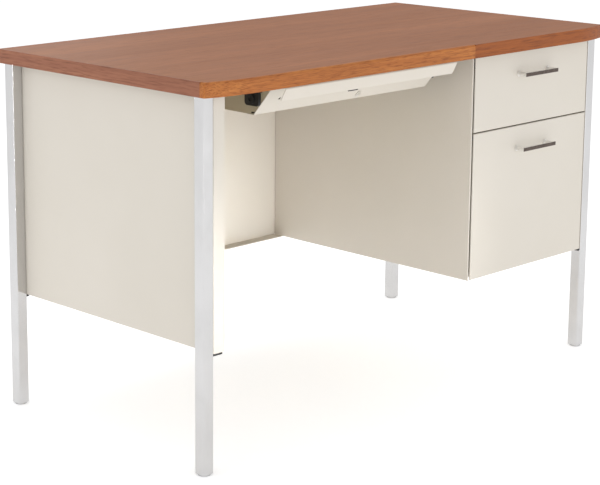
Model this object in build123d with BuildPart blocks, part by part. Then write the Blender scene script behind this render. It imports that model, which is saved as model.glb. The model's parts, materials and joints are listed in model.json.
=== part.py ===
"""Single-pedestal teacher desk: laminate top on four square chrome legs, with painted sheet-steel
panels, a shallow centre drawer over the kneehole and a box drawer above a file drawer on the right.

Millimetres. +X is to the right of the person facing the drawers, the drawers face -Y, +Z is up.
The origin is on the floor under the middle of the desk.
"""
from build123d import *
import os

os.makedirs("parts", exist_ok=True)

# Desktop
DESK_WIDTH = 1219.2
CORNER_DEPTH = 609.6
FRONT_BOW = 17.0
BOW_RUN = 110.0
DESK_HEIGHT = 749.3
TOP_THICKNESS = 28.6
LAMINATE = 0.9
BACKER = 0.7
EDGE_BAND = 2.5
MOULDING_DEPTH = 8.0
MOULDING_RADIUS = 5.0
MOULDING_SHORT = 29.0
CORNER_RADIUS = 4.0

RIGHT = DESK_WIDTH / 2
LEFT = -RIGHT
BACK = (CORNER_DEPTH + FRONT_BOW) / 2
BOW_FRONT = -BACK
CORNER_FRONT = BOW_FRONT + FRONT_BOW
UNDER_TOP = DESK_HEIGHT - TOP_THICKNESS

# Legs and glides
LEG = 25.4
LEG_WALL = 1.6
LEG_RADIUS = 2.5
LEG_BOTTOM = 3.0
SIDE_OVERHANG = 7.4
FRONT_OVERHANG = 10.4
BACK_OVERHANG = 9.6
GLIDE_RADIUS = 12.5
GLIDE_FOOT = 2.5
STEM_RADIUS = 4.0
STEM_TOP = 34.0
GLIDE_ROUND = 0.8
GLIDE_CHAMFER = 0.8
INSERT_HEIGHT = 20.0
RUNNING_FIT = 0.06

LEG_X = RIGHT - SIDE_OVERHANG - LEG / 2
FACE = CORNER_FRONT + FRONT_OVERHANG
LEG_FRONT_Y = FACE + LEG / 2
LEG_REAR_Y = BACK - BACK_OVERHANG - LEG / 2

# Sheet-steel panels
SHEET = 1.2
BEND = 1.0
OUTER_BEND = BEND + SHEET
PANEL_BOTTOM = 235.6
PANEL_X = LEG_X - LEG / 2
MODESTY_Y = 293.7
REAR_FLANGE_BACK = MODESTY_Y + 2 * SHEET
WIDE_FLANGE = 28.0
FLANGE = 20.0
NARROW_FLANGE = 15.0
PEDESTAL_WIDTH = 409.4
PEDESTAL_X = PANEL_X - PEDESTAL_WIDTH
HEM = 2 * SHEET
SEAM = 0.5
CASE_LEFT = PEDESTAL_X + SHEET
CASE_RIGHT = PANEL_X - SHEET
CASE_FRONT = FACE + 16.0
RAIL_DEPTH = 20.0
BOTTOM_UPSTAND = 11.0
TOP_RAIL_BOTTOM = 700.0
DIVIDER_BOTTOM = 545.0
DIVIDER_HEIGHT = 15.0

# Drawers of the pedestal
FRONT_DEPTH = 12.0
CHANNEL_INSET = 14.0
CHANNEL_LIP = 15.0
FRONT_LEFT = CASE_LEFT + 7.3
FRONT_RIGHT = CASE_RIGHT - 1.7
BOX_FRONT_Z = (555.6, 716.0)
FILE_FRONT_Z = (PANEL_BOTTOM, 553.2)
BOX_BODY_Z = (566.0, 690.0)
FILE_BODY_Z = (250.0, 536.0)
DRAWER_BACK = 235.0
DRAWER_SHEET = 1.0
DRAWER_BEND = 2.0
DRAWER_HEM = 9.0
FILE_RAIL_IN = 33.0
FILE_RAIL_Z = (530.0, 542.0)
FILE_RAIL_THICKNESS = 3.0
SLIDE_GAP = 12.7

# Bar pulls
PULL_CENTRES = 101.6
PULL_LENGTH = 114.0
PULL_HEIGHT = 8.0
PULL_THICKNESS = 6.0
PULL_PROJECTION = 25.4
PULL_BELOW_TOP = 49.0
POST_RADIUS = 4.5
BASE_RADIUS = 6.0
BASE_HEIGHT = 2.0
PULL_ROUND = 0.8

# Ball-bearing slides
SLIDE_FRONT = FACE + 23.9
OUTER_LENGTH = 500.0
MIDDLE_LENGTH = 470.0
INNER_LENGTH = 490.0
SLIDE_SHEET = 1.3
BOX_SLIDE_Z = 620.0
FILE_SLIDE_Z = 400.0

# Each member: its web from the case wall, half its height, its lips' edge from the case wall,
# its length, and which way its lips turn from the web.
SLIDE_MEMBERS = {
    "outer": (0.0, 22.8, 9.5, OUTER_LENGTH, 1),
    "middle": (3.0, 18.5, 10.8, MIDDLE_LENGTH, 1),
    "inner": (SLIDE_GAP, 14.0, 6.0, INNER_LENGTH, -1),
}

# Centre drawer
CENTRE_LEFT = -393.6
CENTRE_RIGHT = 110.4
CENTRE_X = (CENTRE_LEFT + CENTRE_RIGHT) / 2
CENTRE_BOTTOM = 653.0
CENTRE_TOP = 714.8
CENTRE_BACK = 150.0
SCOOP_FOOT = -203.3
SCOOP_HEAD = -256.7
LIP_HEAD = -289.1
LIP_FOOT = (-275.1, 689.0)
PAN_RIM = 705.9
RUNNER = 10.0
RUNNER_FRONT = -230.0
RUNNER_SHORT = 5.0
FLOOR_LIP = 18.0
NOSE_GAP = 0.6
HANGING_HOLE_RADIUS = 3.0
HANGING_HOLE_IN = 44.0
HANGING_HOLE_UP = 40.0
RELIEF = 5.0
HANGER_LENGTH = 370.0
HANGER_FRONT = -236.3
HANGER_HOOK = 703.0
TRACK_OUT = 13.0
TRACK_FLANGE = 18.0
TRACK_LIP = 11.5
GUIDE_OUT = (7.0, 1.0)
GUIDE_BACK = (13.0, 51.0)
GUIDE_BOTTOM = 672.0
GUIDE_ROUND = 7.0
PLATE_FRONT = 4.0
PLATE_REAR = 5.0
PLATE_OUT = 4.0
PLATE_THICKNESS = 3.5
BOSS_RADIUS = 9.0
BOSS_HEIGHT = 3.0
BOSS_HOLE_RADIUS = 4.5
TRAY_IN = 6.0
TRAY_BEHIND_SCOOP = 10.0
TRAY_BACK = -118.0
TRAY_RIM = 19.0
TRAY_WALL = 1.6
TRAY_DIVIDERS = (-89.2, 120.8)
LATCH_ACROSS = (-8.0, 20.0)
LATCH_UP = (29.2, 32.0)
LATCH_THICKNESS = 2.0
LATCH_ROUND = 0.6
LOCK_ACROSS = 33.0
LOCK_UP = 15.0
BEZEL_RADIUS = 7.0
BARREL_RADIUS = 6.0
PLUG_RADIUS = 4.4
BEZEL_HEIGHT = 2.0
BARREL_LENGTH = 14.0
PLUG_LENGTH = 16.4
PLUG_TAIL = 15.0
KEYWAY = (1.2, 5.6)
KEYWAY_DEPTH = 8.0
CAM_LENGTH = 22.0
CAM_WIDTH = 9.0
CAM_ROUND = 3.0
CAM_THICKNESS = 2.0

# Screws and bolts
SCREW_RADIUS = 2.0
SCREW_HEAD_RADIUS = 4.5
SCREW_HEAD = 2.6
SCREW_GRIP = 12.0
HOLE_SLACK = 0.1
BOLT_RADIUS = 2.5
BOLT_HEAD = 4.0
BOLT_GRIP = 11.0
BOLT_HEIGHTS = (280.0, 690.0)
BOLT_FRONT_Y = FACE + 18.9
BOLT_REAR_Y = LEG_REAR_Y - 7.0

# Plastic tabs beside the legs, under the panels
LONG_TAB = 24.0
SHORT_TAB = 6.0
TAB_INSET = 1.6
TAB_Z = (PANEL_BOTTOM - 4.8, PANEL_BOTTOM - 0.4)
TAB_CHAMFER = 0.6

# Screws up into the top, by the piece that each row holds
SIDE_SCREW_IN = 13.0
TRACK_SCREW_OUT = 22.0
MODESTY_SCREW_IN = 11.0
SIDE_SCREW_ROWS = (-220, 0, 220)
TRACK_SCREW_ROWS = (-200, -50, 100)
MODESTY_SCREW_COLUMNS = (-420, -140, 110, 370)
HEAD_CLEARANCE = 1.0
THROUGH = 2.0

TOP_SCREWS = {
    "end_panel": [(-PANEL_X + SIDE_SCREW_IN, y) for y in SIDE_SCREW_ROWS],
    "pedestal_side_left": [(PEDESTAL_X + SIDE_SCREW_IN, y) for y in SIDE_SCREW_ROWS],
    "pedestal_side_right": [(PANEL_X - SIDE_SCREW_IN, y) for y in SIDE_SCREW_ROWS],
    "hanger_track_left": [(CENTRE_LEFT - TRACK_SCREW_OUT, y) for y in TRACK_SCREW_ROWS],
    "hanger_track_right": [(CENTRE_RIGHT + TRACK_SCREW_OUT, y) for y in TRACK_SCREW_ROWS],
    "modesty_panel": [(x, MODESTY_Y - MODESTY_SCREW_IN) for x in MODESTY_SCREW_COLUMNS],
}
ALL_TOP_SCREWS = sum(TOP_SCREWS.values(), [])


def save(part, label):
    """Label a finished piece and write it to its own file."""
    part.label = label
    export_step(part, f"parts/{label}.step")


def block(x, y, z, mode=Mode.ADD):
    """A box between two limits on each axis, in the part being built."""
    with Locations(((x[0] + x[1]) / 2, (y[0] + y[1]) / 2, (z[0] + z[1]) / 2)):
        return Box(x[1] - x[0], y[1] - y[0], z[1] - z[0], mode=mode)


def drill(points, radius, low, high, mode=Mode.SUBTRACT):
    """Upright cylinders at plan points, from one height to another."""
    for x, y in points:
        with Locations((x, y, (low + high) / 2)):
            Cylinder(radius, high - low, mode=mode)


def flange_holes(points):
    """Screw holes through a flange that lies under the desktop."""
    drill(points, SCREW_RADIUS + HOLE_SLACK, UNDER_TOP - THROUGH, UNDER_TOP + THROUGH)


def cross_drill(points, radius, low, high, mode=Mode.SUBTRACT):
    """Cylinders along X at (y, z) points, from one X to another."""
    for y, z in points:
        with Locations(Location(((low + high) / 2, y, z), (0, 90, 0))):
            Cylinder(radius, high - low, mode=mode)


# ---------------------------------------------------------------- desktop
with BuildSketch() as outline:
    with BuildLine():
        Polyline((LEFT, CORNER_FRONT), (LEFT, BACK), (RIGHT, BACK), (RIGHT, CORNER_FRONT))
        Line((LEFT + BOW_RUN, BOW_FRONT), (RIGHT - BOW_RUN, BOW_FRONT))
        TangentArc((RIGHT - BOW_RUN, BOW_FRONT), (RIGHT, CORNER_FRONT), tangent=(1, 0))
        TangentArc((LEFT + BOW_RUN, BOW_FRONT), (LEFT, CORNER_FRONT), tangent=(-1, 0))
    make_face()
    fillet(outline.vertices().group_by(Axis.X)[0], CORNER_RADIUS)
    fillet(outline.vertices().group_by(Axis.X)[-1], CORNER_RADIUS)

MOULDING_RIGHT = PEDESTAL_X - MOULDING_SHORT

# A face of the moulding looks forward if its normal is this level, and this far towards -Y.
LEVEL = 0.1
FORWARD = 0.7

with BuildSketch() as banded_plan:
    add(outline.sketch)
    offset(amount=-EDGE_BAND, mode=Mode.REPLACE)

with BuildSketch() as moulded_plan:
    add(outline.sketch)
    offset(amount=-MOULDING_DEPTH, mode=Mode.REPLACE)

with BuildSketch() as front_zone:
    with Locations(((LEFT + MOULDING_RIGHT) / 2, BOW_FRONT)):
        Rectangle(MOULDING_RIGHT - LEFT, 2 * (FRONT_BOW + MOULDING_DEPTH + CORNER_RADIUS))

with BuildSketch() as moulding_plan:
    add(outline.sketch)
    add(moulded_plan.sketch, mode=Mode.SUBTRACT)
    add(front_zone.sketch, mode=Mode.INTERSECT)

with BuildSketch() as core_plan:
    add(banded_plan.sketch)
    add(moulding_plan.sketch, mode=Mode.SUBTRACT)

with BuildPart() as desktop_core:
    with BuildSketch(Plane.XY.offset(UNDER_TOP + BACKER)):
        add(core_plan.sketch)
    extrude(amount=TOP_THICKNESS - BACKER - LAMINATE)
    pilot_top = UNDER_TOP + SCREW_GRIP + HEAD_CLEARANCE
    drill(ALL_TOP_SCREWS, SCREW_RADIUS + HOLE_SLACK, UNDER_TOP, pilot_top)
save(desktop_core.part, "desktop_core")

with BuildPart() as desktop_laminate:
    with BuildSketch(Plane.XY.offset(DESK_HEIGHT - LAMINATE)):
        add(core_plan.sketch)
    extrude(amount=LAMINATE)
save(desktop_laminate.part, "desktop_laminate")

with BuildPart() as desktop_backer:
    with BuildSketch(Plane.XY.offset(UNDER_TOP)):
        add(core_plan.sketch)
    extrude(amount=BACKER)
    flange_holes(ALL_TOP_SCREWS)
save(desktop_backer.part, "desktop_backer")

with BuildPart() as kneehole_moulding:
    with BuildSketch(Plane.XY.offset(UNDER_TOP)):
        add(moulding_plan.sketch)
    extrude(amount=TOP_THICKNESS)
    front_faces = kneehole_moulding.faces().filter_by(
        lambda f: abs(f.normal_at().Z) < LEVEL and f.normal_at().Y < -FORWARD
    )
    rim = kneehole_moulding.edges().group_by(Axis.Z)[-1]
    fillet([e for e in rim for f in front_faces if e in f.edges()], MOULDING_RADIUS)
save(kneehole_moulding.part, "kneehole_moulding")

EDGE_ZONES = {
    "edge_band_left": ((LEFT, LEFT + EDGE_BAND), (BOW_FRONT, BACK)),
    "edge_band_right": ((RIGHT - EDGE_BAND, RIGHT), (BOW_FRONT, BACK)),
    "edge_band_rear": ((LEFT + EDGE_BAND, RIGHT - EDGE_BAND), (0, BACK)),
    "edge_band_pedestal": ((MOULDING_RIGHT, RIGHT - EDGE_BAND), (BOW_FRONT, 0)),
}
for label, (zone_x, zone_y) in EDGE_ZONES.items():
    with BuildPart() as edge_band:
        with BuildSketch(Plane.XY.offset(UNDER_TOP)):
            add(outline.sketch)
            add(banded_plan.sketch, mode=Mode.SUBTRACT)
            add(moulding_plan.sketch, mode=Mode.SUBTRACT)
        extrude(amount=TOP_THICKNESS)
        block(zone_x, zone_y, (UNDER_TOP, DESK_HEIGHT), mode=Mode.INTERSECT)
    save(edge_band.part, label)

# ---------------------------------------------------------------- legs, inserts and glides
LEG_POINTS = {
    "front_left": (-LEG_X, LEG_FRONT_Y, 1, BOLT_FRONT_Y),
    "front_right": (LEG_X, LEG_FRONT_Y, -1, BOLT_FRONT_Y),
    "rear_left": (-LEG_X, LEG_REAR_Y, 1, BOLT_REAR_Y),
    "rear_right": (LEG_X, LEG_REAR_Y, -1, BOLT_REAR_Y),
}
for corner, (x, y, inward, bolt_y) in LEG_POINTS.items():
    with BuildPart() as leg:
        with BuildSketch(Plane.XY.offset(LEG_BOTTOM)):
            with Locations((x, y)):
                RectangleRounded(LEG, LEG, LEG_RADIUS)
                RectangleRounded(
                    LEG - 2 * LEG_WALL, LEG - 2 * LEG_WALL, LEG_RADIUS - LEG_WALL, mode=Mode.SUBTRACT
                )
        extrude(amount=UNDER_TOP - LEG_BOTTOM)
        inner_wall = x + inward * LEG / 2
        cross_drill(
            [(bolt_y, z) for z in BOLT_HEIGHTS],
            BOLT_RADIUS + HOLE_SLACK,
            inner_wall - THROUGH,
            inner_wall + THROUGH,
        )
    save(leg.part, f"leg_{corner}")

    with BuildPart() as glide:
        with BuildSketch(Plane.XY):
            with Locations((x, y)):
                Circle(GLIDE_RADIUS)
        extrude(amount=GLIDE_FOOT)
        fillet(glide.edges().group_by(Axis.Z)[0], GLIDE_ROUND)
        chamfer(glide.edges().group_by(Axis.Z)[-1], GLIDE_CHAMFER)
        drill([(x, y)], STEM_RADIUS, GLIDE_FOOT, STEM_TOP, mode=Mode.ADD)
    save(glide.part, f"glide_{corner}")

with BuildPart() as leg_inserts:
    with BuildSketch(Plane.XY.offset(LEG_BOTTOM)):
        with Locations([(x, y) for x, y, _, _ in LEG_POINTS.values()]):
            Rectangle(LEG - 2 * LEG_WALL - HOLE_SLACK, LEG - 2 * LEG_WALL - HOLE_SLACK)
            Circle(STEM_RADIUS + RUNNING_FIT, mode=Mode.SUBTRACT)
    extrude(amount=INSERT_HEIGHT)
    chamfer(leg_inserts.edges().filter_by(Axis.Z).filter_by(GeomType.LINE), LEG_RADIUS - LEG_WALL)
save(leg_inserts.part, "leg_inserts")


# ---------------------------------------------------------------- panels
def tray(x, y, z, opening):
    """Sheet folded into a shallow tray between the given limits, open on one face."""
    with BuildPart() as shell:
        block(x, y, z)
        fillet(shell.faces().sort_by(opening)[0].edges(), OUTER_BEND)
        offset(amount=-SHEET, openings=shell.faces().sort_by(opening)[-1])
    return shell.part


LEG_BOLT_HOLES = [(y, z) for y in (BOLT_FRONT_Y, BOLT_REAR_Y) for z in BOLT_HEIGHTS]
PANEL_Z = (PANEL_BOTTOM, UNDER_TOP)

left_tray = tray(
    (-PANEL_X, -PANEL_X + WIDE_FLANGE), (FACE, REAR_FLANGE_BACK), PANEL_Z, Axis.X
)
with BuildPart() as end_panel:
    add(left_tray)
    block(
        (-PANEL_X + FLANGE, -PANEL_X + WIDE_FLANGE + THROUGH),
        (FACE + OUTER_BEND, BACK),
        (0, DESK_HEIGHT),
        mode=Mode.SUBTRACT,
    )
    flange_holes(TOP_SCREWS["end_panel"])
    cross_drill(LEG_BOLT_HOLES, BOLT_RADIUS + HOLE_SLACK, -PANEL_X - THROUGH, -PANEL_X + THROUGH)
save(end_panel.part, "end_panel")

pedestal_left_tray = tray(
    (PEDESTAL_X, PEDESTAL_X + FLANGE + SHEET), (FACE, MODESTY_Y), PANEL_Z, Axis.X
)
with BuildPart() as pedestal_side_left:
    add(pedestal_left_tray)
    mouth_x = (PEDESTAL_X + HEM, PEDESTAL_X + 2 * FLANGE)
    block(mouth_x, (FACE - THROUGH, CASE_FRONT), PANEL_Z, mode=Mode.SUBTRACT)
    block(
        (PEDESTAL_X + NARROW_FLANGE, PEDESTAL_X + 2 * FLANGE),
        (CASE_FRONT, MODESTY_Y - OUTER_BEND),
        (PANEL_BOTTOM - THROUGH, PANEL_BOTTOM + OUTER_BEND),
        mode=Mode.SUBTRACT,
    )
    flange_holes(TOP_SCREWS["pedestal_side_left"])
save(pedestal_side_left.part, "pedestal_side_left")

pedestal_right_tray = tray(
    (PANEL_X - FLANGE - SHEET, PANEL_X), (FACE, REAR_FLANGE_BACK), PANEL_Z, -Axis.X
)
with BuildPart() as pedestal_side_right:
    add(pedestal_right_tray)
    mouth_x = (PANEL_X - 2 * FLANGE, CASE_RIGHT)
    block(mouth_x, (FACE - THROUGH, CASE_FRONT), PANEL_Z, mode=Mode.SUBTRACT)
    block(
        (PANEL_X - 2 * FLANGE, PANEL_X - NARROW_FLANGE),
        (CASE_FRONT, MODESTY_Y - OUTER_BEND),
        (PANEL_BOTTOM - THROUGH, PANEL_BOTTOM + OUTER_BEND),
        mode=Mode.SUBTRACT,
    )
    flange_holes(TOP_SCREWS["pedestal_side_right"])
    cross_drill(LEG_BOLT_HOLES, BOLT_RADIUS + HOLE_SLACK, PANEL_X - THROUGH, PANEL_X + THROUGH)
save(pedestal_side_right.part, "pedestal_side_right")


def folded_strip(points, x, radius=OUTER_BEND):
    """Sheet folded along a (y, z) profile, with its thickness on the right of the path."""
    with BuildPart() as strip:
        with BuildSketch(Plane.YZ.offset(x[0])):
            with BuildLine():
                FilletPolyline(*points, radius=radius)
                offset(amount=SHEET, side=Side.RIGHT)
            make_face()
        extrude(amount=x[1] - x[0])
    return strip.part


MODESTY_SHEET_Y = (MODESTY_Y, MODESTY_Y + SHEET)
MODESTY_SHEET_Z = (PANEL_BOTTOM + OUTER_BEND, UNDER_TOP - OUTER_BEND)
KNEEHOLE_X = (-PANEL_X + FLANGE + SHEET, PEDESTAL_X - SEAM)
MODESTY_TAB_X = (PEDESTAL_X + 2 * FLANGE, CASE_RIGHT - 2 * FLANGE)

modesty_fold = folded_strip(
    [
        (MODESTY_Y - WIDE_FLANGE, PANEL_BOTTOM + SHEET),
        (MODESTY_Y, PANEL_BOTTOM + SHEET),
        (MODESTY_Y, UNDER_TOP - SHEET),
        (MODESTY_Y - FLANGE, UNDER_TOP - SHEET),
    ],
    KNEEHOLE_X,
    BEND,
)
with BuildPart() as modesty_panel:
    add(modesty_fold)
    block((-PANEL_X + OUTER_BEND, KNEEHOLE_X[0]), MODESTY_SHEET_Y, MODESTY_SHEET_Z)
    block((KNEEHOLE_X[1], PANEL_X - OUTER_BEND), MODESTY_SHEET_Y, MODESTY_SHEET_Z)
    block(MODESTY_TAB_X, (MODESTY_Y - FLANGE, MODESTY_Y + SHEET), (UNDER_TOP - SHEET, UNDER_TOP))
    block(MODESTY_TAB_X, MODESTY_SHEET_Y, (MODESTY_SHEET_Z[1], UNDER_TOP))
    flange_holes(TOP_SCREWS["modesty_panel"])
save(modesty_panel.part, "modesty_panel")

bottom_fold = folded_strip(
    [
        (MODESTY_Y - OUTER_BEND - SHEET, PANEL_BOTTOM + SHEET),
        (CASE_FRONT, PANEL_BOTTOM + SHEET),
        (CASE_FRONT, PANEL_BOTTOM + BOTTOM_UPSTAND),
    ],
    (CASE_LEFT + BEND, CASE_RIGHT - BEND),
)
save(bottom_fold, "pedestal_bottom")

top_rail_fold = folded_strip(
    [
        (CASE_FRONT + RAIL_DEPTH, TOP_RAIL_BOTTOM),
        (CASE_FRONT, TOP_RAIL_BOTTOM),
        (CASE_FRONT, UNDER_TOP - 2 * SHEET),
        (CASE_FRONT + RAIL_DEPTH, UNDER_TOP - 2 * SHEET),
    ],
    (CASE_LEFT, CASE_RIGHT),
)
save(top_rail_fold, "pedestal_top_rail")

divider_fold = folded_strip(
    [
        (CASE_FRONT + RAIL_DEPTH, DIVIDER_BOTTOM),
        (CASE_FRONT, DIVIDER_BOTTOM),
        (CASE_FRONT, DIVIDER_BOTTOM + DIVIDER_HEIGHT),
        (CASE_FRONT + RAIL_DEPTH, DIVIDER_BOTTOM + DIVIDER_HEIGHT),
    ],
    (CASE_LEFT, CASE_RIGHT),
)
save(divider_fold, "pedestal_divider_rail")

# ---------------------------------------------------------------- fasteners and tabs
with BuildPart() as leg_bolts:
    for x, _, inward, bolt_y in LEG_POINTS.values():
        inner_face = x + inward * (LEG / 2 + SHEET)
        head = sorted((inner_face, inner_face + inward * BOLT_HEAD))
        shank = sorted((inner_face, inner_face - inward * BOLT_GRIP))
        points = [(bolt_y, z) for z in BOLT_HEIGHTS]
        cross_drill(points, 2 * BOLT_RADIUS, *head, mode=Mode.ADD)
        cross_drill(points, BOLT_RADIUS, *shank, mode=Mode.ADD)
save(leg_bolts.part, "leg_bolts")

with BuildPart() as top_screws:
    head_top = UNDER_TOP - SHEET
    drill(ALL_TOP_SCREWS, SCREW_HEAD_RADIUS, head_top - SCREW_HEAD, head_top, mode=Mode.ADD)
    drill(ALL_TOP_SCREWS, SCREW_RADIUS, head_top, UNDER_TOP + SCREW_GRIP, mode=Mode.ADD)
save(top_screws.part, "top_screws")

with BuildPart() as corner_tabs:
    for x, y, inward, _ in LEG_POINTS.values():
        near = x + inward * LEG / 2
        length = LONG_TAB if (x, y) == (-LEG_X, LEG_FRONT_Y) else SHORT_TAB
        reach = sorted((near, near + inward * length))
        half_tab = LEG / 2 - TAB_INSET
        block(reach, (y - half_tab, y + half_tab), TAB_Z)
    chamfer(corner_tabs.edges().group_by(Axis.Z)[0], TAB_CHAMFER)
save(corner_tabs.part, "corner_tabs")

# ---------------------------------------------------------------- pedestal drawers
BODY_X = (CASE_LEFT + SLIDE_GAP, CASE_RIGHT - SLIDE_GAP)
PULL_X = (FRONT_LEFT + FRONT_RIGHT) / 2
PULL_FRONT = FACE - PULL_PROJECTION
POST_X = (PULL_X - PULL_CENTRES / 2, PULL_X + PULL_CENTRES / 2)
FILE_RAIL_X = (BODY_X[0] + FILE_RAIL_IN, BODY_X[1] - FILE_RAIL_IN)

DRAWERS = {
    "box": (BOX_FRONT_Z, BOX_BODY_Z, BOX_SLIDE_Z),
    "file": (FILE_FRONT_Z, FILE_BODY_Z, FILE_SLIDE_Z),
}

for drawer, (front_z, body_z, slide_z) in DRAWERS.items():
    pull_z = front_z[1] - PULL_BELOW_TOP
    posts = [(x, pull_z) for x in POST_X]

    with BuildPart() as front:
        block((FRONT_LEFT, FRONT_RIGHT), (FACE, FACE + HEM), front_z)
        fillet(front.faces().sort_by(Axis.Y)[0].edges(), OUTER_BEND)
        channel_x = (FRONT_LEFT + CHANNEL_INSET, FRONT_RIGHT - CHANNEL_INSET)
        channel_z = (front_z[0] + SHEET, front_z[1] - SHEET)
        block(channel_x, (FACE + SHEET, FACE + FRONT_DEPTH), channel_z)
        block(
            (channel_x[0] + SHEET, channel_x[1] - SHEET),
            (FACE + SHEET, FACE + FRONT_DEPTH - SHEET),
            (channel_z[0] + SHEET, channel_z[1] - SHEET),
            mode=Mode.SUBTRACT,
        )
        block(
            (channel_x[0] + CHANNEL_LIP, channel_x[1] - CHANNEL_LIP),
            (FACE + SHEET, FACE + FRONT_DEPTH + THROUGH),
            (body_z[0] + CHANNEL_LIP, body_z[1] - CHANNEL_LIP),
            mode=Mode.SUBTRACT,
        )
        with BuildSketch(Plane.XZ.offset(-FACE + THROUGH)):
            with Locations(posts):
                Circle(SCREW_RADIUS + HOLE_SLACK)
        extrude(amount=-SHEET - 2 * THROUGH, mode=Mode.SUBTRACT)
    save(front.part, f"{drawer}_drawer_front")

    with BuildPart() as pull:
        block(
            (PULL_X - PULL_LENGTH / 2, PULL_X + PULL_LENGTH / 2),
            (PULL_FRONT, PULL_FRONT + PULL_THICKNESS),
            (pull_z - PULL_HEIGHT / 2, pull_z + PULL_HEIGHT / 2),
        )
        fillet(pull.edges(), PULL_ROUND)
        with BuildSketch(Plane.XZ.offset(-FACE)):
            with Locations(posts):
                Circle(POST_RADIUS)
        extrude(amount=PULL_PROJECTION - PULL_THICKNESS / 2)
        with BuildSketch(Plane.XZ.offset(-FACE)):
            with Locations(posts):
                Circle(BASE_RADIUS)
        extrude(amount=BASE_HEIGHT)
        with BuildSketch(Plane.XZ.offset(-FACE)):
            with Locations(posts):
                Circle(SCREW_RADIUS + HOLE_SLACK)
        extrude(amount=SCREW_GRIP + HEAD_CLEARANCE, mode=Mode.SUBTRACT)
    save(pull.part, f"{drawer}_drawer_pull")

    with BuildPart() as pull_screws:
        with BuildSketch(Plane.XZ.offset(-FACE - SHEET)):
            with Locations(posts):
                Circle(SCREW_RADIUS)
        extrude(amount=SCREW_GRIP)
        with BuildSketch(Plane.XZ.offset(-FACE - SHEET - SCREW_HEAD)):
            with Locations(posts):
                Circle(SCREW_HEAD_RADIUS)
        extrude(amount=SCREW_HEAD)
    save(pull_screws.part, f"{drawer}_pull_screws")

    with BuildPart() as body:
        block(BODY_X, (FACE + FRONT_DEPTH, DRAWER_BACK), body_z)
        fillet(body.edges().filter_by(Axis.Z).group_by(Axis.Y)[-1], DRAWER_BEND)
        fillet(body.faces().sort_by(Axis.Z)[0].edges().filter_by(Axis.Y), DRAWER_BEND)
        offset(amount=-DRAWER_SHEET, openings=body.faces().sort_by(Axis.Z)[-1])
        for hem_x in (
            (BODY_X[0] + DRAWER_SHEET, BODY_X[0] + 2 * DRAWER_SHEET),
            (BODY_X[1] - 2 * DRAWER_SHEET, BODY_X[1] - DRAWER_SHEET),
        ):
            hem_y = (FACE + FRONT_DEPTH + DRAWER_SHEET, DRAWER_BACK - 2 * DRAWER_BEND)
            block(hem_x, hem_y, (body_z[1] - DRAWER_HEM, body_z[1]))
        if drawer == "file":
            for rail_x in FILE_RAIL_X:
                block(
                    (rail_x - FILE_RAIL_THICKNESS / 2, rail_x + FILE_RAIL_THICKNESS / 2),
                    (FACE, DRAWER_BACK + THROUGH),
                    (FILE_RAIL_Z[0], body_z[1] + THROUGH),
                    mode=Mode.SUBTRACT,
                )
    save(body.part, f"{drawer}_drawer_body")

    for side, wall, inward in (("left", CASE_LEFT, 1), ("right", CASE_RIGHT, -1)):
        for member, (web, half, lip, length, facing) in SLIDE_MEMBERS.items():
            slide_y = (SLIDE_FRONT, SLIDE_FRONT + length)
            web_x = sorted((wall + inward * web, wall + inward * (web + facing * SLIDE_SHEET)))
            lip_x = sorted((wall + inward * web, wall + inward * lip))
            with BuildPart() as slide_member:
                block(web_x, slide_y, (slide_z - half, slide_z + half))
                block(lip_x, slide_y, (slide_z + half - SLIDE_SHEET, slide_z + half))
                block(lip_x, slide_y, (slide_z - half, slide_z - half + SLIDE_SHEET))
            save(slide_member.part, f"{drawer}_slide_{side}_{member}")

with BuildPart() as file_rails:
    for rail_x in FILE_RAIL_X:
        block(
            (rail_x - FILE_RAIL_THICKNESS / 2, rail_x + FILE_RAIL_THICKNESS / 2),
            (FACE + FRONT_DEPTH, DRAWER_BACK),
            FILE_RAIL_Z,
        )
save(file_rails.part, "file_rails")

# ---------------------------------------------------------------- centre drawer
SCOOP_RISE = CENTRE_TOP - CENTRE_BOTTOM
SCOOP_RUN = SCOOP_HEAD - SCOOP_FOOT
scoop_plane = Plane(
    origin=(CENTRE_X, SCOOP_FOOT, CENTRE_BOTTOM), x_dir=(1, 0, 0), z_dir=(0, -SCOOP_RISE, SCOOP_RUN)
)
SCOOP_THROUGH = SHEET * (SCOOP_RISE**2 + SCOOP_RUN**2) ** 0.5 / SCOOP_RISE
PAN_NOSE = SCOOP_FOOT + SCOOP_THROUGH + NOSE_GAP
PAN_FLOOR = CENTRE_BOTTOM + SHEET

front_fold = folded_strip(
    [
        (SCOOP_FOOT + FLOOR_LIP, CENTRE_BOTTOM),
        (SCOOP_FOOT, CENTRE_BOTTOM),
        (SCOOP_HEAD, CENTRE_TOP),
        (LIP_HEAD, CENTRE_TOP),
        LIP_FOOT,
    ],
    (CENTRE_LEFT, CENTRE_RIGHT),
)
with BuildPart() as centre_drawer_front:
    add(front_fold)
    half_width = (CENTRE_RIGHT - CENTRE_LEFT) / 2
    hole_x = half_width - HANGING_HOLE_IN
    with BuildSketch(scoop_plane.offset(THROUGH)):
        with Locations((LOCK_ACROSS, LOCK_UP)):
            Circle(BARREL_RADIUS)
        with Locations((-hole_x, HANGING_HOLE_UP), (hole_x, HANGING_HOLE_UP)):
            Circle(HANGING_HOLE_RADIUS)
    extrude(amount=-SHEET - 2 * THROUGH, mode=Mode.SUBTRACT)
save(centre_drawer_front.part, "centre_drawer_front")

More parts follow.
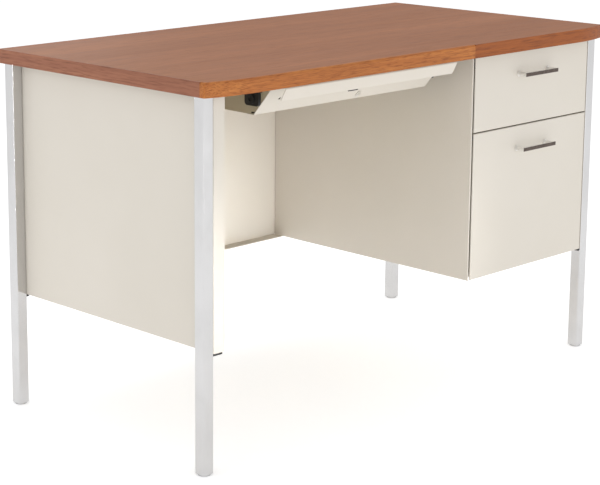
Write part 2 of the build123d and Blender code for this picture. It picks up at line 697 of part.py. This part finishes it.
with BuildPart() as centre_drawer_pan:
    with BuildSketch(Plane.YZ.offset(CENTRE_LEFT)):
        with BuildLine():
            Polyline(
                (PAN_NOSE + SCOOP_RUN * SHEET / SCOOP_RISE, PAN_FLOOR),
                (CENTRE_BACK, PAN_FLOOR),
                (CENTRE_BACK, PAN_RIM),
                (PAN_NOSE + SCOOP_RUN * (PAN_RIM - CENTRE_BOTTOM) / SCOOP_RISE, PAN_RIM),
                close=True,
            )
        make_face()
    extrude(amount=CENTRE_RIGHT - CENTRE_LEFT)
    open_faces = [
        centre_drawer_pan.faces().sort_by(Axis.Z)[-1],
        centre_drawer_pan.faces().sort_by(Axis.Y)[0],
    ]
    offset(amount=-DRAWER_SHEET, openings=open_faces)
    runner_y = (RUNNER_FRONT, CENTRE_BACK - RUNNER_SHORT)
    runner_z = (PAN_RIM - SHEET, PAN_RIM)
    block((CENTRE_LEFT - RUNNER, CENTRE_LEFT + DRAWER_SHEET), runner_y, runner_z)
    block((CENTRE_RIGHT - DRAWER_SHEET, CENTRE_RIGHT + RUNNER), runner_y, runner_z)
    relief_y = (PAN_NOSE - RELIEF, PAN_NOSE + RELIEF)
    relief_z = (PAN_FLOOR - THROUGH, PAN_FLOOR + RELIEF)
    for wall_x in (CENTRE_LEFT, CENTRE_RIGHT):
        block((wall_x - THROUGH, wall_x + THROUGH), relief_y, relief_z, mode=Mode.SUBTRACT)
save(centre_drawer_pan.part, "centre_drawer_pan")

with BuildPart() as pencil_tray:
    tray_x = (CENTRE_LEFT + TRAY_IN, CENTRE_RIGHT - TRAY_IN)
    tray_y = (SCOOP_FOOT + TRAY_BEHIND_SCOOP, TRAY_BACK)
    tray_z = (PAN_FLOOR + DRAWER_SHEET, PAN_FLOOR + TRAY_RIM)
    block(tray_x, tray_y, tray_z)
    divider_x = [CENTRE_X + across for across in TRAY_DIVIDERS]
    cell_lefts = [tray_x[0] + TRAY_WALL] + [x + TRAY_WALL / 2 for x in divider_x]
    cell_rights = [x - TRAY_WALL / 2 for x in divider_x] + [tray_x[1] - TRAY_WALL]
    cell_y = (tray_y[0] + TRAY_WALL, tray_y[1] - TRAY_WALL)
    cell_z = (tray_z[0] + TRAY_WALL, tray_z[1] + THROUGH)
    for cell_x in zip(cell_lefts, cell_rights):
        block(cell_x, cell_y, cell_z, mode=Mode.SUBTRACT)
save(pencil_tray.part, "pencil_tray")

with BuildPart() as latch_plate:
    with BuildSketch(scoop_plane):
        with Locations((sum(LATCH_ACROSS) / 2, sum(LATCH_UP) / 2)):
            Rectangle(LATCH_ACROSS[1] - LATCH_ACROSS[0], LATCH_UP[1] - LATCH_UP[0])
    extrude(amount=LATCH_THICKNESS)
    fillet(latch_plate.faces().sort_by(Axis.Y)[0].edges(), LATCH_ROUND)
save(latch_plate.part, "latch_plate")

lock_plane = Plane(
    origin=scoop_plane.from_local_coords((LOCK_ACROSS, LOCK_UP, 0)),
    x_dir=(1, 0, 0),
    z_dir=scoop_plane.z_dir,
)
with BuildPart() as lock_housing:
    with BuildSketch(lock_plane.offset(-BARREL_LENGTH)):
        Circle(BARREL_RADIUS)
    extrude(amount=BARREL_LENGTH)
    with BuildSketch(lock_plane):
        Circle(BEZEL_RADIUS)
    extrude(amount=BEZEL_HEIGHT)
    with BuildSketch(lock_plane.offset(-BARREL_LENGTH - THROUGH)):
        Circle(PLUG_RADIUS + RUNNING_FIT)
    extrude(amount=BARREL_LENGTH + BEZEL_HEIGHT + 2 * THROUGH, mode=Mode.SUBTRACT)
save(lock_housing.part, "lock_housing")

with BuildPart() as lock_plug:
    with BuildSketch(lock_plane.offset(-PLUG_TAIL)):
        Circle(PLUG_RADIUS)
    extrude(amount=PLUG_LENGTH)
    with BuildSketch(lock_plane.offset(BEZEL_HEIGHT)):
        Rectangle(*KEYWAY)
    extrude(amount=-KEYWAY_DEPTH, mode=Mode.SUBTRACT)
save(lock_plug.part, "lock_plug")

with BuildPart() as lock_cam:
    with BuildSketch(lock_plane.offset(-PLUG_TAIL - CAM_THICKNESS)):
        with Locations((CAM_LENGTH / 2 - CAM_ROUND, 0)):
            RectangleRounded(CAM_LENGTH, CAM_WIDTH, CAM_ROUND)
    extrude(amount=CAM_THICKNESS)
save(lock_cam.part, "lock_cam")


def hanger(mirror_x):
    """Rolled track under the top, and the nylon guide at its front, on one side of the drawer."""
    web = CENTRE_LEFT - TRACK_OUT
    hanger_y = (HANGER_FRONT, HANGER_FRONT + HANGER_LENGTH)
    with BuildPart() as track:
        block((web, web + SHEET), hanger_y, (HANGER_HOOK, UNDER_TOP))
        block((web - TRACK_FLANGE, web + SHEET), hanger_y, (UNDER_TOP - SHEET, UNDER_TOP))
        block((web, web + TRACK_LIP), hanger_y, (HANGER_HOOK, HANGER_HOOK + SHEET))
        flange_holes(TOP_SCREWS["hanger_track_left"])
        if mirror_x:
            mirror(about=Plane.YZ.offset(CENTRE_X), mode=Mode.REPLACE)
    guide_x = [CENTRE_LEFT - out for out in GUIDE_OUT]
    guide_y = [HANGER_FRONT + back for back in GUIDE_BACK]
    boss = [(sum(guide_y) / 2, GUIDE_BOTTOM + BOSS_RADIUS + PLATE_OUT)]
    boss_face = guide_x[0] - BOSS_HEIGHT
    with BuildPart() as guide:
        block(guide_x, guide_y, (GUIDE_BOTTOM, HANGER_HOOK))
        fillet(guide.edges().filter_by(Axis.X).group_by(Axis.Z)[0], GUIDE_ROUND)
        block(
            (guide_x[0] - PLATE_OUT, guide_x[1]),
            (guide_y[0] - PLATE_FRONT, guide_y[1] + PLATE_REAR),
            (HANGER_HOOK - PLATE_THICKNESS, HANGER_HOOK),
        )
        cross_drill(boss, BOSS_RADIUS, boss_face, guide_x[0] + SHEET, mode=Mode.ADD)
        cross_drill(boss, BOSS_HOLE_RADIUS, boss_face - THROUGH, boss_face + THROUGH)
        if mirror_x:
            mirror(about=Plane.YZ.offset(CENTRE_X), mode=Mode.REPLACE)
    return track.part, guide.part


for side, mirror_x in (("left", False), ("right", True)):
    track, guide = hanger(mirror_x)
    save(track, f"hanger_track_{side}")
    save(guide, f"hanger_guide_{side}")
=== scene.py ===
"""Looks, lights and camera for the teacher desk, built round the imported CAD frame.

Everything is in metres, in the frame of the CAD model: +X to the right of the person at the desk,
the drawers face -Y, +Z up, and the origin is on the floor under the middle of the desk.
"""
import json
import math

import bpy
from mathutils import Matrix, Vector


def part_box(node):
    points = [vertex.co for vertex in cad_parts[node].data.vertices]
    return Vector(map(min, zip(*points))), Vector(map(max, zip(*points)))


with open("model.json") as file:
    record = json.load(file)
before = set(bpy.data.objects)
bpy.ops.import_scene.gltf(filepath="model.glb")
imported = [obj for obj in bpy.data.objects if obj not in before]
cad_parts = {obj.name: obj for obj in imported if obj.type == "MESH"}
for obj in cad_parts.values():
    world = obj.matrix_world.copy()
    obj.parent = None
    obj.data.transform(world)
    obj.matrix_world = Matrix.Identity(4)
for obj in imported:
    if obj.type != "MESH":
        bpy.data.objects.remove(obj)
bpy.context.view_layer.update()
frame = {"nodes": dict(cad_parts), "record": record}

# Camera: where it stands, where it points, and how the picture is framed
CAMERA_PLACE = Vector((-2.7552, -2.5966, 1.2454))
CAMERA_HEADING = 43.85
CAMERA_PITCH = -11.43
CAMERA_ROLL = 0.06
CAMERA_LENS = 107.3
CAMERA_SHIFT = (0.1167, -0.1376)

# Studio. Each softbox: its place, what it points at, its width and height, its power in watts, and
# its spread in degrees.
WORLD_STRENGTH = 0.70
FLOOR_GLOW = 0.42
FLOOR_SIZE = 70.0
SOFTBOXES = {
    "front_softbox": ((0.3, -3.9, 1.1), (0, 0, 0.4), 3.0, 1.6, 18, 180),
    "left_softbox": ((-4.0, 0.3, 2.0), (0, 0, 0.4), 2.6, 2.0, 16, 180),
    "top_softbox": ((0.4, 0.4, 3.6), (0, 0, 0.7), 3.2, 3.2, 24, 180),
    "back_softbox": ((1.4, 3.2, 1.3), (-0.5, 0.1, 0.75), 1.2, 0.8, 5, 180),
    "kneehole_softbox": ((-0.5, -2.7, 0.22), (-0.28, 0.29, 0.34), 0.8, 0.15, 0.62, 14),
}

# The front of the drawers' bar pulls, and the thickness of their dark facing
BAR_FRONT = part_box("box_drawer_pull")[0][1]
FACING_DEPTH = 0.0006

# Grain directions
ALONG_X = (1.0, 0.0, 0.0)
ALONG_Y = (0.0, 1.0, 0.0)
ALONG_Z = (0.0, 0.0, 1.0)


def linear(red, green, blue):
    """A colour given in screen values from 0 to 255, as the linear colour that shaders take."""
    channels = []
    for value in (red, green, blue):
        share = value / 255
        channels.append(share / 12.92 if share <= 0.04045 else ((share + 0.055) / 1.055) ** 2.4)
    return (*channels, 1.0)


class Shader:
    """A Principled material with short helpers for its procedural nodes."""

    def __init__(self, name, roughness, metallic=0.0):
        self.material = bpy.data.materials.new(name)
        self.material.use_nodes = True
        self.nodes = self.material.node_tree.nodes
        self.links = self.material.node_tree.links
        self.surface = self.nodes["Principled BSDF"]
        self.surface.inputs["Roughness"].default_value = roughness
        self.surface.inputs["Metallic"].default_value = metallic
        self.place = self.nodes.new("ShaderNodeTexCoord").outputs["Object"]
        self.normal = None

    def feed(self, socket, value):
        """Links a socket to another node, or sets its value."""
        if isinstance(value, bpy.types.NodeSocket):
            self.links.new(value, socket)
        else:
            socket.default_value = value

    def set(self, name, value):
        """Sets one socket of the Principled shader."""
        self.feed(self.surface.inputs[name], value)

    def stretched(self, scale, offset=(0, 0, 0)):
        """The point's place on the object, scaled on each axis and shifted."""
        node = self.nodes.new("ShaderNodeMapping")
        self.links.new(self.place, node.inputs["Vector"])
        node.inputs["Scale"].default_value = scale
        node.inputs["Location"].default_value = offset
        return node.outputs["Vector"]

    def noise(self, scale, detail=3.0, rough=0.5, offset=(0, 0, 0), warp=0.0):
        """Noise with its own scale on each axis, in waves per metre."""
        node = self.nodes.new("ShaderNodeTexNoise")
        self.links.new(self.stretched(scale, offset), node.inputs["Vector"])
        node.inputs["Scale"].default_value = 1.0
        node.inputs["Detail"].default_value = detail
        node.inputs["Roughness"].default_value = rough
        node.inputs["Distortion"].default_value = warp
        return node.outputs["Fac"]

    def cells(self, scale):
        """Voronoi cells with their own scale on each axis."""
        node = self.nodes.new("ShaderNodeTexVoronoi")
        self.links.new(self.stretched(scale), node.inputs["Vector"])
        node.inputs["Scale"].default_value = 1.0
        return node

    def span(self, value, low, high, to_low=0.0, to_high=1.0):
        """Maps a value from one range to another, and holds it there."""
        node = self.nodes.new("ShaderNodeMapRange")
        self.links.new(value, node.inputs["Value"])
        node.inputs["From Min"].default_value = low
        node.inputs["From Max"].default_value = high
        node.inputs["To Min"].default_value = to_low
        node.inputs["To Max"].default_value = to_high
        return node.outputs["Result"]

    def mix(self, share, first, second):
        """Two colours mixed by a share from 0 to 1."""
        node = self.nodes.new("ShaderNodeMix")
        node.data_type = "RGBA"
        self.feed(node.inputs[0], share)
        self.feed(node.inputs[6], first)
        self.feed(node.inputs[7], second)
        return node.outputs[2]

    def combine(self, operation, first, second):
        """Two numbers put through one math operation."""
        node = self.nodes.new("ShaderNodeMath")
        node.operation = operation
        self.feed(node.inputs[0], first)
        self.feed(node.inputs[1], second)
        return node.outputs["Value"]

    def bump(self, height, strength, distance):
        """Adds a fine relief, on top of any that is there."""
        node = self.nodes.new("ShaderNodeBump")
        node.inputs["Strength"].default_value = strength
        node.inputs["Distance"].default_value = distance
        self.links.new(height, node.inputs["Height"])
        if self.normal:
            self.links.new(self.normal, node.inputs["Normal"])
        self.normal = node.outputs["Normal"]
        self.links.new(self.normal, self.surface.inputs["Normal"])


# ---------------------------------------------------------------- materials
def grain_scale(along, slow, fast):
    """Noise scales that draw streaks along one axis."""
    return tuple(slow if share else fast for share in along)


def wood_print(name, along, light, middle, dark, roughness, contrast=0.5, fineness=1.0):
    """Plastic printed with fine straight wood grain that runs along one axis."""
    shader = Shader(name, roughness)
    shader.surface.inputs["Specular IOR Level"].default_value = 0.3
    figure = shader.span(shader.noise(grain_scale(along, 0.9, 13), 4, 0.55, warp=0.4), 0.32, 0.68)
    streaks = shader.span(shader.noise(grain_scale(along, 3.5, 150), 5, 0.62), 0.34, 0.68)
    fleck_scale = grain_scale(along, 18 * fineness, 330 * fineness)
    flecks = shader.span(shader.noise(fleck_scale, 3, 0.6, (2, 5, 3)), 0.50, 0.66)
    pores = shader.span(shader.noise(grain_scale(along, 26, 620), 2, 0.5, (4, 7, 1)), 0.58, 0.74)
    colour = shader.mix(streaks, middle, light)
    colour = shader.mix(shader.combine("MULTIPLY", figure, 0.45), colour, dark)
    colour = shader.mix(shader.combine("MULTIPLY", flecks, contrast), colour, dark)
    colour = shader.mix(shader.combine("MULTIPLY", pores, contrast), colour, dark)
    shader.set("Base Color", colour)
    shader.set("Roughness", shader.span(streaks, 0, 1, roughness - 0.04, roughness + 0.05))
    shader.bump(pores, 0.12, 0.0004)
    shader.bump(shader.noise((900, 900, 900), 2), 0.05, 0.0003)
    return shader.material


def powder_coat(name, colour, shade):
    """Satin powder coat with a slight orange peel and a barely uneven tone."""
    shader = Shader(name, 0.42)
    drift = shader.span(shader.noise((3, 3, 3), 3, 0.6), 0.3, 0.7)
    specks = shader.span(shader.noise((1500, 1500, 1500), 1), 0.66, 0.78)
    tone = shader.mix(shader.combine("MULTIPLY", drift, 0.5), colour, shade)
    shader.set("Base Color", shader.mix(shader.combine("MULTIPLY", specks, 0.25), tone, shade))
    shader.set("Roughness", shader.span(drift, 0, 1, 0.38, 0.46))
    shader.bump(shader.noise((420, 420, 420), 3, 0.55), 0.10, 0.0004)
    return shader.material


def plated(name, colour, roughness, streak, along=ALONG_Z, lines=0.05):
    """Bright metal with faint polishing lines along one axis and cloudy smudges."""
    shader = Shader(name, roughness, 1.0)
    smudges = shader.span(shader.noise((14, 14, 9), 4, 0.6), 0.42, 0.72)
    shader.set("Base Color", shader.mix(shader.combine("MULTIPLY", smudges, 0.35), colour, streak))
    shader.set("Roughness", shader.span(smudges, 0, 1, roughness, roughness + 0.07))
    shader.bump(shader.noise(grain_scale(along, 8, 1600), 2), lines, 0.0002)
    return shader.material


def moulded_plastic(name, colour, worn, roughness):
    """Moulded plastic with a fine spark-eroded texture."""
    shader = Shader(name, roughness)
    dust = shader.span(shader.noise((60, 60, 60), 5, 0.65), 0.52, 0.8)
    shader.set("Base Color", shader.mix(shader.combine("MULTIPLY", dust, 0.5), colour, worn))
    shader.set("Roughness", shader.span(dust, 0, 1, roughness, roughness + 0.15))
    shader.bump(shader.noise((1300, 1300, 1300), 2), 0.25, 0.0003)
    return shader.material


def chip_board(name):
    """Pressed wood chips, seen only on the cut faces under the top."""
    shader = Shader(name, 0.85)
    chips = shader.cells((260, 620, 900))
    rough_chips = shader.noise((500, 500, 500), 4)
    tone = shader.mix(chips.outputs["Color"], linear(196, 160, 118), linear(140, 104, 70))
    shader.set("Base Color", shader.mix(shader.span(rough_chips, 0.4, 0.7), tone, linear(171, 133, 92)))
    shader.bump(chips.outputs["Distance"], 0.3, 0.0006)
    return shader.material


def bar_pull(name, bar_front):
    """Bright plating on the posts and the bar's top, and a dark facing on the front of the bar."""
    shader = Shader(name, 0.3, 0.7)
    cloud = shader.span(shader.noise((90, 90, 90), 3), 0.4, 0.7)
    split = shader.nodes.new("ShaderNodeSeparateXYZ")
    shader.links.new(shader.place, split.inputs["Vector"])
    facing = shader.span(split.outputs["Y"], bar_front + FACING_DEPTH, bar_front + 2 * FACING_DEPTH)
    bright = shader.mix(cloud, linear(238, 236, 232), linear(222, 220, 216))
    dark = shader.mix(cloud, linear(84, 72, 66), linear(101, 89, 82))
    shader.set("Base Color", shader.mix(facing, dark, bright))
    shader.set("Roughness", shader.span(cloud, 0, 1, 0.28, 0.38))
    shader.bump(shader.noise(grain_scale(ALONG_X, 30, 1500), 2), 0.05, 0.0002)
    return shader.material


LOOKS = {
    "particle_board": chip_board("chip_board"),
    "laminate": wood_print(
        "top_laminate", ALONG_X, linear(178, 118, 79), linear(164, 103, 64), linear(128, 74, 39), 0.55
    ),
    "backer": moulded_plastic("backer_sheet", linear(120, 90, 66), linear(140, 112, 88), 0.6),
    # The front moulding has its own finer, stronger-contrast print, but its brighter colours also paint
    # the light that its rounded top catches.
    "moulding": wood_print(
        "front_moulding_with_painted_light", ALONG_X, linear(206, 132, 66), linear(182, 106, 46), linear(122, 60, 20),
        roughness=0.5, contrast=0.7, fineness=1.8,
    ),
    "edge_band": wood_print(
        "edge_band", ALONG_X, linear(172, 96, 40), linear(150, 80, 32), linear(104, 48, 15), 0.5, 0.6
    ),
    "chrome": plated("leg_chrome", linear(206, 205, 205), 0.12, linear(184, 183, 182)),
    "glide_metal": plated("glide_plate", linear(206, 206, 206), 0.3, linear(180, 180, 180)),
    "black_nylon": moulded_plastic("black_nylon", linear(26, 26, 26), linear(58, 57, 55), 0.5),
    "putty_paint": powder_coat("putty_coat", linear(221, 214, 203), linear(213, 206, 193)),
    # The inner putty is a guessed inner paint, made darker and browner than the outer coat: painted
    # shade from the drawer side seen in shade under the top.
    "putty_paint_inner": powder_coat("putty_coat_inner_painted_shade", linear(196, 185, 158), linear(186, 174, 146)),
    "slide_steel": plated(
        "zinc_steel", linear(196, 199, 203), 0.3, linear(150, 152, 156), ALONG_Y, 0.15
    ),
    "pull_metal": bar_pull("bar_pull_plate", BAR_FRONT),
    "screw_steel": plated("screw_zinc", linear(190, 191, 190), 0.28, linear(140, 139, 134)),
    "tray_plastic": moulded_plastic("tray_plastic", linear(34, 34, 37), linear(62, 62, 64), 0.45),
    "lock_metal": plated("lock_plate", linear(235, 232, 226), 0.4, linear(205, 202, 196)),
}

# The side bands carry the edge-band print with its grain along Y, in paler, pinker colours that paint
# the sheen on the desk's ends.
SIDE_BAND_WITH_SHEEN = wood_print(
    "side_band_painted_sheen", ALONG_Y, linear(170, 114, 86), linear(152, 96, 72), linear(110, 62, 42), 0.5, 0.6
)
SIDE_BANDS = ("edge_band_left", "edge_band_right")

for subpart in frame["record"]["subparts"]:
    node = frame["nodes"][subpart["node"]]
    look = LOOKS[subpart["material_slot"]]
    # The left and right edge bands take the side-band print with its painted sheen.
    if subpart["node"] in SIDE_BANDS:
        look = SIDE_BAND_WITH_SHEEN
    for material_slot in node.material_slots:
        material_slot.material = look


# ---------------------------------------------------------------- floor, light and camera
def make_floor():
    """A plain pale floor that carries on past the picture on every side."""
    bpy.ops.mesh.primitive_plane_add(size=FLOOR_SIZE, location=(0, 0, 0))
    floor = bpy.context.object
    floor.name = "floor"
    shader = Shader("pale_floor", 0.9)
    tone = shader.span(shader.noise((2, 2, 2), 2), 0.3, 0.7)
    shader.set("Base Color", shader.mix(tone, linear(243, 243, 243), linear(246, 246, 246)))
    shader.set("Emission Color", linear(255, 255, 255))
    shader.set("Emission Strength", FLOOR_GLOW)
    floor.data.materials.append(shader.material)


def make_softboxes():
    """Soft rectangular studio lights."""
    for name, (place, target, width, height, power, spread) in SOFTBOXES.items():
        data = bpy.data.lights.new(name, "AREA")
        data.shape = "RECTANGLE"
        data.size = width
        data.size_y = height
        data.energy = power
        data.spread = math.radians(spread)
        light = bpy.data.objects.new(name, data)
        light.location = place
        aim = Vector(target) - Vector(place)
        light.rotation_euler = aim.to_track_quat("-Z", "Y").to_euler()
        bpy.context.scene.collection.objects.link(light)


def make_world():
    """An even, nearly white surround."""
    world = bpy.data.worlds.new("studio")
    world.use_nodes = True
    background = world.node_tree.nodes["Background"]
    background.inputs["Color"].default_value = linear(250, 251, 252)
    background.inputs["Strength"].default_value = WORLD_STRENGTH
    bpy.context.scene.world = world


def make_camera():
    """The camera, turned from level: heading, then pitch, then roll."""
    data = bpy.data.cameras.new("camera")
    data.sensor_width = 36.0
    data.lens = CAMERA_LENS
    data.shift_x, data.shift_y = CAMERA_SHIFT
    camera = bpy.data.objects.new("camera", data)
    turn = Matrix.Rotation(math.radians(-CAMERA_HEADING), 4, "Z")
    tilt = Matrix.Rotation(math.radians(90 + CAMERA_PITCH), 4, "X")
    roll = Matrix.Rotation(math.radians(CAMERA_ROLL), 4, "Z")
    camera.matrix_world = Matrix.Translation(CAMERA_PLACE) @ turn @ tilt @ roll
    bpy.context.scene.collection.objects.link(camera)
    bpy.context.scene.camera = camera


make_floor()
make_world()
make_softboxes()
make_camera()
bpy.context.scene.view_settings.view_transform = "Standard"
